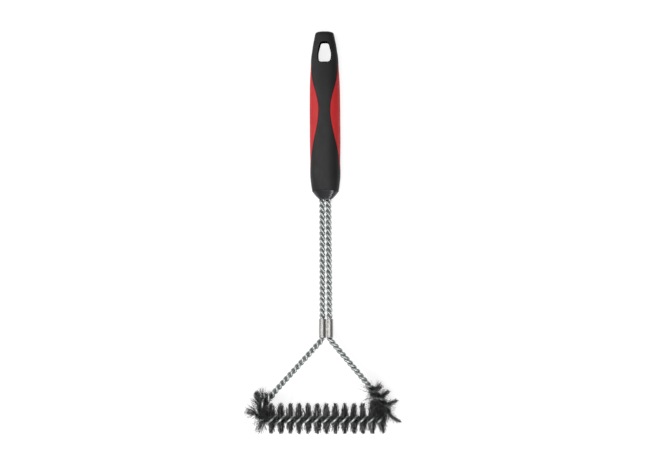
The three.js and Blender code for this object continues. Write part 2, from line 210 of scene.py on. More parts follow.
def moulded(name, dark, light, roughness, grain, depth, specular):
    """Moulded plastic or rubber with a fine grain and a little unevenness in its colour."""
    material, nodes, links, shader = new_material(name)
    shader.inputs["Specular IOR Level"].default_value = specular
    mottle = noise(nodes, links, scale=45, detail=4)
    stops = [(NOISE_LOW, dark), (NOISE_HIGH, light)]
    links.new(ramp(nodes, links, mottle, stops), shader.inputs["Base Color"])
    sheen = noise(nodes, links, scale=130, detail=3)
    links.new(ranged(nodes, links, sheen, *roughness), shader.inputs["Roughness"])
    surface = noise(nodes, links, grain, detail=2)
    bump(nodes, links, surface, depth, strength=0.5, shader=shader)
    return material


ROUGHNESS_FINER = 1.7  # a steel's roughness varies on this much finer a scale than its tone
GRAIN_FINER = 2.3  # and its grain on this much finer a one


def steel(name, dark, light, roughness, scale, stretch=(1, 1, 1), depth=0.00002):
    material, nodes, links, shader = new_material(name)
    shader.inputs["Metallic"].default_value = 1.0
    tone = noise(nodes, links, scale, detail=4, roughness=0.6, stretch=stretch)
    stops = [(NOISE_LOW, dark), (NOISE_HIGH, light)]
    links.new(ramp(nodes, links, tone, stops), shader.inputs["Base Color"])
    sheen = noise(nodes, links, scale * ROUGHNESS_FINER, detail=3)
    links.new(ranged(nodes, links, sheen, *roughness), shader.inputs["Roughness"])
    grain = noise(nodes, links, scale * GRAIN_FINER, detail=3, stretch=stretch)
    bump(nodes, links, grain, depth, strength=0.35, shader=shader)
    return material


BRISTLE_TONES = [
    (0.0, (0.045, 0.046, 0.048)),
    (0.5, (0.12, 0.121, 0.124)),
    (0.8, (0.23, 0.23, 0.232)),
    (1.0, (0.38, 0.38, 0.38)),
]


def bristle_steel():
    """Fine wires whose tone differs from one to the next."""
    material, nodes, links, shader = new_material("bristle_wire")
    shader.inputs["Metallic"].default_value = 0.75
    tone = nodes.new("ShaderNodeAttribute")
    tone.attribute_name = "tone"
    links.new(ramp(nodes, links, tone.outputs["Fac"], BRISTLE_TONES), shader.inputs["Base Color"])
    sheen = noise(nodes, links, scale=900, detail=2)
    links.new(ranged(nodes, links, sheen, low=0.3, high=0.5), shader.inputs["Roughness"])
    return material


black_grip = moulded(
    "soft_black",
    dark=(0.0118, 0.0118, 0.0125),
    light=(0.0148, 0.0148, 0.0156),
    roughness=(0.46, 0.58),
    grain=2600,
    depth=0.00006,
    specular=0.3,
)
red_grip = moulded(
    "soft_red",
    dark=(0.51, 0.0195, 0.0225),
    light=(0.575, 0.025, 0.029),
    roughness=(0.46, 0.58),
    grain=2600,
    depth=0.00006,
    specular=0.3,
)
# Painted shade: the hang hole's walls are near-black and have no specular, darker than the grip around
# them, so the hole looks shaded inside.
hole_shade_black = moulded(
    "hole_wall_painted_shade",
    dark=(0.003, 0.003, 0.0034),
    light=(0.004, 0.004, 0.0045),
    roughness=(0.6, 0.7),
    grain=2600,
    depth=0.00004,
    specular=0.0,
)
nose_black = moulded(
    "nose_gloss",
    dark=(0.021, 0.0205, 0.0245),
    light=(0.026, 0.0255, 0.03),
    roughness=(0.20, 0.28),
    grain=900,
    depth=0.00002,
    specular=0.4,
)
core_black = moulded(
    "core_plastic",
    dark=(0.02, 0.02, 0.021),
    light=(0.027, 0.027, 0.028),
    roughness=(0.5, 0.6),
    grain=700,
    depth=0.00005,
    specular=0.4,
)
stem_steel = steel(
    "stem_wire",
    dark=(0.41, 0.435, 0.43),
    light=(0.55, 0.575, 0.57),
    roughness=(0.40, 0.52),
    scale=260,
)
sleeve_steel = steel(
    "sleeve_sheet",
    dark=(0.39, 0.381, 0.371),
    light=(0.465, 0.455, 0.443),
    roughness=(0.39, 0.45),
    scale=160,
    stretch=(1, 0.1, 1),
    depth=0.00001,
)
bristle_wire = bristle_steel()

# ---- Handle ----

HANDLE_TURN = math.radians(3.4)  # the handle sits a little turned on the stem
HANDLE_ASIDE = 0.3  # and a little to the right of it

# Distance from the hanging end, half width, half thickness.
HANDLE_KNOTS = [
    (0.0, 0.0, 0.0),
    (0.1, 3.2, 1.5),
    (0.35, 5.6, 2.9),
    (0.8, 7.6, 4.0),
    (1.4, 8.95, 4.8),
    (2.2, 9.7, 5.3),
    (4.2, 10.3, 5.8),
    (7.5, 10.95, 6.2),
    (14.0, 12.3, 6.8),
    (20.5, 13.3, 7.2),
    (30.0, 14.6, 7.8),
    (36.5, 14.85, 8.4),
    (49.0, 15.6, 9.5),
    (62.5, 16.15, 10.6),
    (84.5, 16.35, 11.5),
    (110.5, 16.4, 11.8),
    (128.5, 16.25, 11.9),
    (139.5, 16.0, 11.8),
    (151.5, 16.2, 12.0),
    (157.0, 16.0, 11.9),
    (163.8, 15.2, 11.3),
    (166.5, 14.75, 10.95),
    (169.6, 13.95, 10.5),
]
SECTION_POWER = 2.4
SKIN_RINGS = 260
SKIN_PER_RADIAN = 14.0  # millimetres of skin, near enough for the rolled edges
EDGE_ROLL = 0.32  # radius of the rolled edges between black and red

# Each red inlay is widest at the waist, narrows like a bell curve and ends in a blunt point. It
# lies in a pocket of the black grip.
INLAY_WAIST = 84.5
INLAY_HALF_ANGLE = math.radians(72.2)
INLAY_UP = {"length": 55.5, "bell": 41.6}
INLAY_DOWN = {"length": 68.5, "bell": 51.7}
INLAY_BLUNT_POWER = 6
INLAY_DEPTH = 1.3
INLAY_GAP = 0.22  # between the inlay's edge and the pocket's
INLAY_UNDER = 0.12  # and under the inlay
INLAY_PROUD = 0.02  # how far the inlay stands above the black skin
INLAY_LEAST = 0.05  # the half angle at which its points end
INLAY_COLUMNS = 30
INLAY_LEAST_EDGE = 0.01  # the half angle that its columns keep at the points
INLAY_EDGE_COLUMNS = np.array([0.0, 0.03, 0.08, 0.16, 0.24, 0.34])  # millimetres inside its edge
INLAY_END = 0.02  # its first and last ring count as this far inside the edge
POCKET_LEAST = 0.02  # half angle of the grip's columns where there is no pocket
POCKET_FROM = 2.2 * POCKET_LEAST  # half angle from which the skin is pressed in
POCKET_COLUMNS = 15
# Millimetres outside a pocket's edge.
POCKET_EDGE_COLUMNS = np.array([-0.14, -0.10, 0.0, 0.06, 0.14, 0.24, 0.34])
BAND_COLUMNS = 26

# The grip's lower end turns in and leaves a socket for the nose: down from the end, and inwards.
GRIP_LIP = [(0.2, 0.35), (0.22, 1.9), (-9.0, 2.0)]
GRIP_WALL = 2.2  # between the grip's skin and its hollow
HOLE_WALL = 1.3  # and round the hang hole
CAVITY_FROM, CAVITY_TO = 2.6, 164.3
CAVITY_RINGS = 120
CAVITY_SIDES = 64

# The hang hole's corners: half width, distance from the hanging end, how far they are cut back.
HOLE_CORNERS = [(4.0, HOLE_TOP, 2.2), (7.5, 25.5, 5.0), (5.8, 33.2, 2.8)]
HOLE_CORNER_STEPS = 9
HOLE_SIDES = 96
HOLE_RINGS = 400
HOLE_LIP = 0.7  # radius of its rounded lip on both faces
HOLE_LIP_STEPS = 7
HOLE_LIP_FROM = 0.12  # the angle at which the lip leaves the face
HOLE_FLARE = 0.9  # how far its cutter widens past the lip, and starts above the face
WIDEST_SHARE = 0.98  # of the half width, the furthest out that the face's height is taken
CUTTER_REACH = 20.0  # cutters run well past both faces of the handle


def inlay_half_angle(distance):
    """Half angle of an inlay about the middle of the handle's side, at distances from its end."""
    along = distance - INLAY_WAIST
    length = np.where(along < 0, INLAY_UP["length"], INLAY_DOWN["length"])
    bell = np.where(along < 0, INLAY_UP["bell"], INLAY_DOWN["bell"])
    blunt = np.sqrt(1 - np.clip(np.abs(along) / length, 0, 1) ** INLAY_BLUNT_POWER)
    return INLAY_HALF_ANGLE * np.exp(-((along / bell) ** 2)) * blunt


def section(angle, half_width, half_thickness):
    """Superellipse that the handle has as its section."""
    cosine, sine = np.cos(angle), np.sin(angle)
    power = 2 / SECTION_POWER
    x = np.sign(cosine) * np.abs(cosine) ** power * half_width
    z = np.sign(sine) * np.abs(sine) ** power * half_thickness
    return x, z


def turned(points):
    """From the handle's own axis to the brush: the handle's turn and the lean of the shafts."""
    points = np.array(points, float)
    x, z = points[:, 0].copy(), points[:, 2].copy()
    points[:, 0] = x * math.cos(HANDLE_TURN) - z * math.sin(HANDLE_TURN) + HANDLE_ASIDE
    points[:, 2] = x * math.sin(HANDLE_TURN) + z * math.cos(HANDLE_TURN)
    return leaned(points)


def leaned(points):
    """The shafts' lean to the left, from the sleeve up."""
    points = np.array(points, float)
    above = np.maximum(points[:, 1] - LEAN_FROM_Y, 0)
    points[:, 0] -= above * math.tan(SIDE_LEAN)
    return points


SEAM_DIP = 2.2  # how much further down the seam above the nose lies at the sides than in front
SEAM_FROM, SEAM_AT, SEAM_TO = 161.5, 169.7, 181.0


def seam_shift(distance, angles):
    """How far the skin near the seam is pulled down, so that the seam curves round the handle."""
    above = (distance - SEAM_FROM) / (SEAM_AT - SEAM_FROM)
    below = (SEAM_TO - distance) / (SEAM_TO - SEAM_AT)
    return SEAM_DIP * np.clip(np.minimum(above, below), 0, 1) * np.cos(angles) ** 2


def skin(rings, angles, drop):
    """Grid of points of the handle's skin, pressed in by drop along its rough normal."""
    distance, half_width, half_thickness = (rings[:, i][:, None] for i in range(3))
    x, z = section(angles, half_width, half_thickness)
    nx, nz = x / np.maximum(half_width, 1e-6) ** 2, z / np.maximum(half_thickness, 1e-6) ** 2
    length = np.maximum(np.hypot(nx, nz), 1e-9)
    x = x - drop * nx / length
    z = z - drop * nz / length
    y = HANDLE_TOP - distance - seam_shift(distance, angles)
    return np.stack([x, y, z], axis=-1)


def edge_drop(inside, depth):
    """How far the skin drops at a distance inside an edge that it rolls over."""
    inside = np.asarray(inside, float)
    short = EDGE_ROLL - np.clip(inside, 0, EDGE_ROLL)
    rolled = EDGE_ROLL - np.sqrt(np.maximum(EDGE_ROLL**2 - short**2, 0))
    return np.where(inside < 0, depth, rolled)


def plain_skin(rings, sides):
    """Points of rings of the handle's skin, or of one that lies inside it."""
    angles = np.broadcast_to(ring_angles(sides), (len(rings), sides))
    return skin(rings, angles, np.zeros(angles.shape)).reshape(-1, 3)


def black_grip_mesh():
    rings = smooth_curve(HANDLE_KNOTS, SKIN_RINGS)
    phi = inlay_half_angle(rings[:, 0])
    zone = np.maximum(phi, POCKET_LEAST)
    offsets = POCKET_EDGE_COLUMNS / SKIN_PER_RADIAN
    # Columns follow the edges: right pocket, front band, left pocket, back band.
    columns = []
    for centre in (0.0, math.pi):
        columns += [centre + t * (zone + offsets[0]) for t in np.linspace(-1, 1, POCKET_COLUMNS)]
        columns += [centre + zone + off for off in offsets[1:]]
        start, end = centre + zone + offsets[-1], centre + math.pi - zone - offsets[-1]
        columns += [start + t * (end - start) for t in np.linspace(0, 1, BAND_COLUMNS)[1:-1]]
        columns += [centre + math.pi - zone - off for off in offsets[:0:-1]]
    angles = np.stack(columns, axis=1)
    # How far each column lies outside the nearest pocket, in millimetres.
    side = np.abs((angles + math.pi / 2) % math.pi - math.pi / 2)
    outside = (side - zone[:, None]) * SKIN_PER_RADIAN
    pressed = (phi > POCKET_FROM)[:, None] & (outside <= EDGE_ROLL)
    points = skin(rings, angles, np.where(pressed, edge_drop(outside, INLAY_DEPTH), 0))
    lip = []
    for down, pull in GRIP_LIP:
        ring = points[-1].copy()
        ring[:, 0] *= 1 - pull / rings[-1, 1]
        ring[:, 1] -= down
        ring[:, 2] *= 1 - pull / rings[-1, 2]
        lip.append(ring)
    points = np.concatenate([points, np.stack(lip)])
    rows, count, _ = points.shape
    faces = grid_faces(rows, count, True).tolist()
    faces.append(list(range((rows - 1) * count, rows * count)))
    return points.reshape(-1, 3), faces


def hang_hole_outline():
    """Points round the hang hole, across the handle and along it, and the direction out of it."""
    corners = HOLE_CORNERS + [(-x, distance, back) for x, distance, back in HOLE_CORNERS[::-1]]
    places = np.array(corners)[:, :2]
    outline = []
    for i, (p, (_, _, back)) in enumerate(zip(places, corners)):
        u, v = places[i - 1] - p, places[(i + 1) % len(places)] - p
        a, b = p + u / np.linalg.norm(u) * back, p + v / np.linalg.norm(v) * back
        for t in np.linspace(0, 1, HOLE_CORNER_STEPS):
            outline.append((1 - t) ** 2 * a + 2 * t * (1 - t) * p + t**2 * b)
    outline = evenly(np.array(outline + outline[:1]), HOLE_SIDES + 1)[:-1]
    tangent = np.roll(outline, -1, axis=0) - np.roll(outline, 1, axis=0)
    normal = np.stack([tangent[:, 1], -tangent[:, 0]], axis=1)
    return outline, normal / np.linalg.norm(normal, axis=1)[:, None]


def hang_hole_cutter():
    """Loft through the handle whose ends flare, so that it leaves a rounded lip on both faces."""
    outline, normal = hang_hole_outline()
    rings = smooth_curve(HANDLE_KNOTS, HOLE_RINGS)

    def surface(points):
        half_width, half_thickness = (np.interp(points[:, 1], rings[:, 0], rings[:, i]) for i in (1, 2))
        share = np.clip(np.abs(points[:, 0]) / half_width, 0, WIDEST_SHARE)
        return half_thickness * (1 - share**SECTION_POWER) ** (1 / SECTION_POWER)

    steps = [(HOLE_LIP + HOLE_FLARE, -HOLE_FLARE)]
    for a in np.linspace(HOLE_LIP_FROM, math.pi / 2, HOLE_LIP_STEPS):
        steps.append((HOLE_LIP * (1 - math.sin(a)), HOLE_LIP * (1 - math.cos(a))))
    far = outline + normal * (HOLE_LIP + HOLE_FLARE)
    layers = []
    for sign in (1, -1):
        end = np.full(len(far), sign * CUTTER_REACH)
        these = [np.column_stack([far[:, 0], HANDLE_TOP - far[:, 1], end])]
        for grow, depth in steps:
            xy = outline + normal * grow
            z = sign * (surface(xy) - depth)
            these.append(np.column_stack([xy[:, 0], HANDLE_TOP - xy[:, 1], z]))
        layers += these if sign > 0 else these[::-1]
    return np.concatenate(layers), loft_faces(len(layers), len(outline))


WELD_DISTANCE, LEAST_EDGE = 1e-7, 1e-8  # in metres
CUT_SHARP_DEG = 35


def outward(obj):
    """Welds coincident points and recalculates the normals to face out."""
    bm = bmesh.new()
    bm.from_mesh(obj.data)
    bmesh.ops.remove_doubles(bm, verts=bm.verts, dist=WELD_DISTANCE)
    bmesh.ops.dissolve_degenerate(bm, edges=bm.edges, dist=LEAST_EDGE)
    bmesh.ops.recalc_face_normals(bm, faces=bm.faces)
    bm.to_mesh(obj.data)
    bm.free()
    return obj


def cut(obj, cutter):
    """Takes the cutter out of the object and removes the cutter."""
    modifier = obj.modifiers.new("cut", "BOOLEAN")
    modifier.operation = "DIFFERENCE"
    modifier.material_mode = "TRANSFER"
    modifier.solver = "EXACT"
    modifier.object = cutter
    bpy.context.view_layer.update()
    evaluated = obj.evaluated_get(bpy.context.evaluated_depsgraph_get())
    mesh = bpy.data.meshes.new_from_object(evaluated)
    obj.modifiers.clear()
    old = obj.data
    obj.data = mesh
    bpy.data.meshes.remove(old)
    spare = cutter.data
    bpy.data.objects.remove(cutter)
    bpy.data.meshes.remove(spare)
    obj.data.shade_smooth()
    obj.data.set_sharp_from_angle(angle=math.radians(CUT_SHARP_DEG))


def grip_cavity():
    """The hollow round the core and the ends of the wires. A wall is left round the hang hole."""
    rings = smooth_curve(HANDLE_KNOTS, CAVITY_RINGS)
    rings = rings[(rings[:, 0] > CAVITY_FROM) & (rings[:, 0] < CAVITY_TO)] - [0, GRIP_WALL, GRIP_WALL]
    points, faces = plain_skin(rings, CAVITY_SIDES), loft_faces(len(rings), CAVITY_SIDES)
    cavity = outward(add_mesh("cavity_cutter", turned(points), faces, black_grip))
    outline, normal = hang_hole_outline()
    wall = outline + normal * HOLE_WALL
    across, along = wall[:, 0], HANDLE_TOP - wall[:, 1]
    ends = [np.full(len(wall), z) for z in (-CUTTER_REACH, CUTTER_REACH)]
    layers = [np.column_stack([across, along, end]) for end in ends]
    points, faces = np.concatenate(layers), loft_faces(len(layers), len(wall))
    cut(cavity, outward(add_mesh("liner_cutter", turned(points), faces, black_grip)))
    return cavity


def make_black_grip():
    points, faces = black_grip_mesh()
    grip = outward(add_mesh("grip_black", turned(points), faces, black_grip))
    cut(grip, grip_cavity())
    points, faces = hang_hole_cutter()
    # The cut faces take the cutter's near-black material, which is painted shade on the hang hole's
    # walls.
    cutter = outward(add_mesh("hole_cutter", turned(points), faces, hole_shade_black))
    cut(grip, cutter)
    return grip


def inlay_mesh(side):
    """Red patch that fills the pocket in the black grip, with its own rolled edge."""
    rings = smooth_curve(HANDLE_KNOTS, SKIN_RINGS)
    phi = inlay_half_angle(rings[:, 0]) - INLAY_GAP / SKIN_PER_RADIAN
    keep = phi > INLAY_LEAST
    rings, phi = rings[keep], phi[keep]
    offsets = INLAY_EDGE_COLUMNS / SKIN_PER_RADIAN
    edges = [np.maximum(phi - off, INLAY_LEAST_EDGE) for off in offsets]
    middle = [t * edges[-1] for t in np.linspace(-1, 1, INLAY_COLUMNS)[1:-1]]
    angles = np.stack([-edge for edge in edges] + middle + edges[::-1], axis=1)
    inside = (phi[:, None] - np.abs(angles)) * SKIN_PER_RADIAN
    along = np.minimum(rings[:, 0] - rings[0, 0], rings[-1, 0] - rings[:, 0])[:, None]
    drop = edge_drop(np.minimum(inside, along + INLAY_END), INLAY_DEPTH)
    top = skin(rings, angles, np.clip(drop, 0, EDGE_ROLL) - INLAY_PROUD)
    base = skin(rings, angles, np.full(angles.shape, INLAY_DEPTH - INLAY_UNDER))
    layers = np.stack([top, base])
    if side < 0:
        layers[..., 0] *= -1
    rows, count = angles.shape
    total = rows * count
    faces = grid_faces(rows, count).tolist()
    faces += [[total + i for i in face[::-1]] for face in faces]
    rim = (
        list(range(count))
        + [r * count + count - 1 for r in range(1, rows)]
        + [(rows - 1) * count + c for c in range(count - 2, -1, -1)]
        + [r * count for r in range(rows - 2, 0, -1)]
    )
    faces += [[a, b, total + b, total + a] for a, b in zip(rim, rim[1:] + rim[:1])]
    return layers.reshape(-1, 3), faces


def make_inlay(side, word):
    points, faces = inlay_mesh(side)
    return outward(add_mesh(f"inlay_red_{word}", turned(points), faces, red_grip))


# ---- Nose cap ----

NOSE_TUCK = [(168.5, 11.6, 8.0), (169.9, 11.8, 8.3)]  # under the end of the grip
NOSE_KNOTS = [
    (169.95, 13.7, 10.3),
    (170.3, 13.5, 10.1),
    (171.6, 12.75, 9.3),
    (172.9, 11.9, 8.45),
    (174.3, 10.95, 7.55),
    (175.7, 9.95, 6.65),
    (176.9, 9.05, 5.85),
    (178.3, 7.8, 4.95),
    (179.6, 6.3, 4.2),
    (180.6, 4.2, 3.7),
    (180.95, 2.1, 2.6),
    (181.03, 0.0, 0.0),
]
NOSE_RINGS = 90
NOSE_SIDES = 128
# A bore for each shaft, countersunk at the tip: distance from the hanging end, and radius.
BORE_RINGS = [(182.0, 4.0), (180.6, 4.0), (180.0, 3.5), (166.0, 3.5)]
BORE_SIDES = 48


def make_nose():
    rings = np.concatenate([NOSE_TUCK, smooth_curve(NOSE_KNOTS, NOSE_RINGS)])
    faces = grid_faces(len(rings), NOSE_SIDES, True).tolist()
    faces.append(list(range(NOSE_SIDES))[::-1])
    nose = outward(add_mesh("nose_gloss_cap", turned(plain_skin(rings, NOSE_SIDES)), faces, nose_black))
    ring = ring_angles(BORE_SIDES)
    for x in (-SHAFT_NOSE / 2, SHAFT_NOSE / 2):
        layers = []
        for distance, radius in BORE_RINGS:
            y = np.full(BORE_SIDES, HANDLE_TOP - distance)
            layers.append(np.column_stack([x + radius * np.cos(ring), y, radius * np.sin(ring)]))
        points, faces = np.concatenate(layers), loft_faces(len(layers), BORE_SIDES)
        cut(nose, outward(add_mesh("bore_cutter", leaned(points), faces, nose_black)))
    return nose


# ---- Wires ----

NOSE_Y = HANDLE_TOP - 172.1  # the shafts draw together from the sleeve up to here
WIRES_END_Y = 290.0  # inside the handle
SLEEVE_TOP = 107.0
SLEEVE_LENGTH = 19.6
LEG_BEND_Y = 85.5  # where the legs spread, just below the sleeve
LEG_BEND_RADIUS = 6.0
LEFT_CORNER = (-81.7, 7.0)  # place along the bar, and radius
RIGHT_CORNER = (76.4, 9.0)
BARE_PITCH = 11.7  # one full turn of the twist where there are no bristles
BAR_PITCH = 19.4  # and where there are
HALF_TURN = BAR_PITCH / 2
WIRE_RADIUS = 1.60
BARE_OFFSET = 1.66  # from the twist's axis to each wire's centre
BAR_OFFSET = 2.4
OFFSET_BLEND = 6.0  # length over which the wires open to take the bristles
BUNDLES = 10  # on each side of the middle one
PAST_LAST_BUNDLE = 0.35  # half turns by which the wider pitch goes on past the last bundle
ROUTE_STEP = 0.2
LEAST_CORNER_STEPS = 8
TANGENT_REACH = 0.35  # the route's direction is taken over this distance on both sides
STRAND_STEP = 0.45
STRAND_SIDES = 20
UP = np.array([0.0, 0.0, 1.0])


def rounded_route(corners):
    """Distances and points along straight lines with rounded corners, given as (x, y, radius)."""
    places = np.array(corners, float)[:, :2]
    points = [places[0]]
    for before, at, after, (_, _, radius) in zip(places, places[1:], places[2:], corners[1:]):
        if not radius:
            points.append(at)
            continue
        into = (at - before) / np.linalg.norm(at - before)
        out = (after - at) / np.linalg.norm(after - at)
        turn = math.atan2(into[0] * out[1] - into[1] * out[0], into @ out)
        start = at - into * radius * math.tan(abs(turn) / 2)
        centre = start + np.array([-into[1], into[0]]) * radius * math.copysign(1, turn)
        first = math.atan2(*(start - centre)[::-1])
        steps = max(LEAST_CORNER_STEPS, int(radius * abs(turn) / ROUTE_STEP))
        for a in np.linspace(0, turn, steps):
            points.append(centre + radius * np.array([math.cos(first + a), math.sin(first + a)]))
    points = np.array(points + [places[-1]])
    run = run_lengths(points)
    keep = np.concatenate([[True], np.diff(run) > 1e-9])
    points, run = points[keep], run[keep]
    at = np.linspace(0, run[-1], int(run[-1] / ROUTE_STEP))
    return at, at_distances(at, run, points)


route_at, route_xy = rounded_route(
    [
        (-SHAFT_NOSE / 2, WIRES_END_Y, 0),
        (-SHAFT_NOSE / 2, NOSE_Y, 0),
        (-SHAFT_SLEEVE / 2, SLEEVE_TOP, 0),
        (-SHAFT_SLEEVE / 2, LEG_BEND_Y, LEG_BEND_RADIUS),
        (LEFT_CORNER[0], 0, LEFT_CORNER[1]),
        (RIGHT_CORNER[0], 0, RIGHT_CORNER[1]),
        (SHAFT_SLEEVE / 2, LEG_BEND_Y, LEG_BEND_RADIUS),
        (SHAFT_SLEEVE / 2, SLEEVE_TOP, 0),
        (SHAFT_NOSE / 2, NOSE_Y, 0),
        (SHAFT_NOSE / 2, WIRES_END_Y, 0),
    ]
)
# Where the bar crosses x = 0, and how far the wider pitch goes from there.
on_bar = np.abs(route_xy[:, 1]) < 0.01
bar_middle = float(np.interp(0.0, route_xy[on_bar, 0], route_at[on_bar]))
bristled_half = (BUNDLES + PAST_LAST_BUNDLE) * HALF_TURN


def station(along):
    """Place, direction and the direction across it at distances along the route."""
    along = np.asarray(along, float)
    ahead = at_distances(along + TANGENT_REACH, route_at, route_xy)
    behind = at_distances(along - TANGENT_REACH, route_at, route_xy)
    tangent = ahead - behind
    tangent /= np.linalg.norm(tangent, axis=1)[:, None]
    zero = np.zeros(len(along))
    return (
        np.column_stack([at_distances(along, route_at, route_xy), zero]),
        np.column_stack([tangent, zero]),
        np.column_stack([-tangent[:, 1], tangent[:, 0], zero]),
    )


def twist(along):
    """Angle of the left-hand twist, none in the middle of the bar."""
    off = np.asarray(along, float) - bar_middle
    bristled = np.minimum(np.abs(off), bristled_half)
    bare = np.abs(off) - bristled
    return -2 * math.pi * np.sign(off) * (bristled / BAR_PITCH + bare / BARE_PITCH)


def strand_centre(along, quarter):
    """Middle line of a wire that starts some quarter turns on, and the twist's own axis."""
    point, _, across = station(along)
    bare = np.clip((np.abs(along - bar_middle) - bristled_half) / OFFSET_BLEND, 0, 1)
    blend = bare * bare * (3 - 2 * bare)
    offset = (BAR_OFFSET + (BARE_OFFSET - BAR_OFFSET) * blend)[:, None]
    angle = (twist(along) + quarter * math.pi / 2)[:, None]
    return point + across * offset * np.cos(angle) + UP * offset * np.sin(angle), point


def make_strand(name, quarter):
    along = np.linspace(0, route_at[-1], int(route_at[-1] / STRAND_STEP))
    centre, axis = strand_centre(along, quarter)
    tangent = np.gradient(centre, axis=0)
    tangent /= np.linalg.norm(tangent, axis=1)[:, None]
    radial = centre - axis
    radial -= tangent * np.sum(radial * tangent, axis=1)[:, None]
    radial /= np.linalg.norm(radial, axis=1)[:, None]
    side = np.cross(tangent, radial)
    ring = ring_angles(STRAND_SIDES)[None, :, None]
    round_centre = radial[:, None] * np.cos(ring) + side[:, None] * np.sin(ring)
    points = centre[:, None] + WIRE_RADIUS * round_centre
    faces = grid_faces(len(along), STRAND_SIDES, True).tolist()
    last = (len(along) - 1) * STRAND_SIDES
    faces += [list(range(STRAND_SIDES))[::-1], list(range(last, last + STRAND_SIDES))]
    return outward(add_mesh(name, leaned(points.reshape(-1, 3)), faces, stem_steel, sharp_deg=60))


# ---- Crimped sleeve ----

BARREL_RADIUS = 3.62  # to the middle of the sheet
BARREL_STEPS = 44
BARREL_OPENING = 0.1  # radians that each barrel stays open beyond the web
WEB_HALF = 2.2  # half height of the pinch between the two barrels
WEB_UNDER = (-0.5, 0.0, 0.5)  # across, where the sheet passes from one barrel to the other
LAP_BELOW = (0.9, 0.3, -0.4)  # across, where one edge lies on the web
LAP_ABOVE = (1.0, 0.8, 0.6)  # and where the other edge lies over it
LAP_RISE = 0.5
HALF_SHEET = 0.24
SLEEVE_POINTS = 200
SLEEVE_SMOOTHINGS = 6
SLEEVE_LAYERS = 81
SLEEVE_DENTS = [(0.008, 9, 1.3), (0.005, 23, 0.0)]  # size, waves in radians over the length, start


def sleeve_profile():
    """Middle line of the strip in X and Z, from one lapped edge round both barrels to the other."""
    half = SHAFT_SLEEVE / 2
    open_angle = math.asin(WEB_HALF / BARREL_RADIUS) + BARREL_OPENING
    turns = np.linspace(open_angle, 2 * math.pi - open_angle, BARREL_STEPS)
    left = [(-half + BARREL_RADIUS * math.cos(a), BARREL_RADIUS * math.sin(a)) for a in turns]
    right = [(-x, -z) for x, z in left]
    under = [(x, -WEB_HALF) for x in WEB_UNDER]
    start = [(x, WEB_HALF) for x in LAP_BELOW]
    end = [(x, WEB_HALF + LAP_RISE) for x in LAP_ABOVE]
    line = evenly(np.array(start + left + under + right + end), SLEEVE_POINTS)
    for _ in range(SLEEVE_SMOOTHINGS):
        line[1:-1] = (line[:-2] + 2 * line[1:-1] + line[2:]) / 4
    return line


def make_sleeve():
    line = sleeve_profile()
    tangent = np.gradient(line, axis=0)
    tangent /= np.linalg.norm(tangent, axis=1)[:, None]
    normal = np.stack([tangent[:, 1], -tangent[:, 0]], axis=1)
    outline = np.concatenate([line + normal * HALF_SHEET, (line - normal * HALF_SHEET)[::-1]])
    count = len(outline)
    layers = []
    for t in np.linspace(0, 1, SLEEVE_LAYERS):
        y = np.full(count, SLEEVE_TOP - SLEEVE_LENGTH * t)
        dent = 1 + sum(size * math.sin(waves * t + start) for size, waves, start in SLEEVE_DENTS)
        layers.append(np.column_stack([outline[:, 0], y, outline[:, 1] * dent]))
    faces = grid_faces(len(layers), count, True).tolist()
    for base, flip in ((0, False), ((len(layers) - 1) * count, True)):
        for i in range(count // 2 - 1):
            quad = [base + i, base + i + 1, base + count - 2 - i, base + count - 1 - i]
            faces.append(quad[::-1] if flip else quad)
    points = np.concatenate(layers)
    return outward(add_mesh("sleeve_strip", points, faces, sleeve_steel, sharp_deg=50))


# ---- Bristles ----

WIRES_PER_BUNDLE = 190
WIRES_AT_CORNER = 250  # in each bundle there, where they are splayed over the stem
BRISTLE_RADIUS = 0.13
BRISTLE_SEGMENTS = 5  # on each side of the stem
REACH = 16.4
REACH_SHIFT = 1.2  # on the bar, bristles towards the handle are this much longer, others shorter
FLOOR_CLEARANCE = 0.35
BUNDLE_JITTER = 0.006  # half turns by which the bristles stray from their even places
ROOT_HALF = 0.65  # half width over which they are pinched between the wires
CLUMP = 5  # neighbours that share their unevenness
CLUMP_DRAWS = 6  # the last isn't used, and is drawn so that the ones after it stay as they are
LOOSE_DRAWS = 10
ANGLE_UNEVEN = 0.05
CLUMP_REACH, LOOSE_REACH = 0.02, 0.025
LEAST_RAGGED = 0.4  # share of its reach that the most ragged bristle keeps
CLUMP_LEAN, LOOSE_LEAN, LEAN_POWER = 0.045, 0.045, 1.6  # of the tips, along the route
CLUMP_SWING, LOOSE_SWING, SWING_POWER = 0.05, 0.04, 1.8  # and beside it
SPLAY_POWER = 1.3
STUB = 0.3  # share of its reach that a broken bristle keeps
TUBE_SIDES = 4
TONE_SHAPE = (2, 3.2)  # of the beta distribution that the bristles' tones are drawn from

